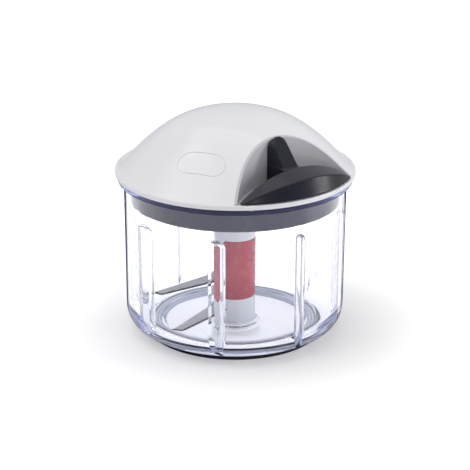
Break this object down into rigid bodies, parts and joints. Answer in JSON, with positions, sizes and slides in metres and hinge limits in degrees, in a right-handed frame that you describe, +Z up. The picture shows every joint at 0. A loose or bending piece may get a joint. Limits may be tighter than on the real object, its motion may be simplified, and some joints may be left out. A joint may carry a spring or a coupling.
{
  "type": "food processor",
  "caption": "Hand-pulled food chopper: clear ribbed bowl, two-blade unit on a centre pin, and a domed lid whose front handle pulls a cord to spin the blades.",
  "frame": {"origin": "bottom centre of the bowl, on its axis and on the surface it stands on", "axes": "+Z up along the bowl's axis; -Y is the front, where the handle pulls out"},
  "size_m": [0.14, 0.14, 0.1339],
  "materials": {
    "clear_plastic": "clear injection-moulded plastic with a faint blue cast",
    "grip_rubber": "black non-slip rubber",
    "white_plastic": "satin white plastic",
    "gloss_white": "glossy white plastic",
    "red_plastic": "red plastic",
    "grey_plastic": "satin mid-grey plastic",
    "dark_grey_plastic": "dark grey plastic",
    "charcoal_plastic": "satin charcoal plastic",
    "natural_plastic": "natural low-friction plastic",
    "blade_steel": "brushed stainless steel with a ground edge",
    "steel": "turned steel",
    "spring_steel": "blued spring steel",
    "screw_steel": "zinc-plated screw",
    "cord": "braided pull cord"
  },
  "bodies": {
    "bowl": {"bowl": "clear_plastic", "base_ring": "grip_rubber", "centre_pin": "steel"},
    "blade_unit": {"blade_shaft": "white_plastic", "shaft_sleeve": "red_plastic", "upper_blade": "blade_steel", "lower_blade": "blade_steel"},
    "lid": {"lid_dome": "gloss_white", "handle_recess": "grey_plastic", "cord_eyelet": "steel", "drive_housing": "dark_grey_plastic", "coupling_bush": "natural_plastic", "bearing_plate": "natural_plastic", "reel_axle": "steel", "axle_clip": "spring_steel", "plate_screw_1": "screw_steel", "plate_screw_2": "screw_steel", "plate_screw_3": "screw_steel", "dome_screw_1": "screw_steel", "dome_screw_2": "screw_steel", "dome_screw_3": "screw_steel", "cord_run": "cord"},
    "reel": {"cord_reel": "natural_plastic", "wound_cord": "cord", "return_spring": "spring_steel", "drive_coupling": "dark_grey_plastic"},
    "handle": {"handle_grip": "charcoal_plastic", "knot_cover": "charcoal_plastic", "cord_knot": "steel", "pull_cord": "cord"}
  },
  "joints": [
    {"name": "lid_lift", "type": "slide", "parent": "bowl", "child": "lid", "axis": [0, 0, 1], "range_m": [0, 0.12]},
    {"name": "handle_pull", "type": "slide", "parent": "lid", "child": "handle", "axis": [0, -1, 0], "range_m": [0, 0.3]},
    {"name": "reel_spin", "type": "hinge", "parent": "lid", "child": "reel", "pos_m": [0, 0, 0.106], "axis": [0, 0, 1], "range_deg": [0, 765.9], "stiffness_Nm_per_rad": 0.008, "springref_deg": -229.18},
    {"name": "blade_spin", "type": "hinge", "parent": "bowl", "child": "blade_unit", "pos_m": [0, 0, 0.02], "axis": [0, 0, 1], "range_deg": [0, 765.9]}
  ],
  "couplings": [
    {"joint": "reel_spin", "follows": "handle_pull", "rad_per_m": 44.444},
    {"joint": "blade_spin", "follows": "handle_pull", "rad_per_m": 44.444}
  ]
}
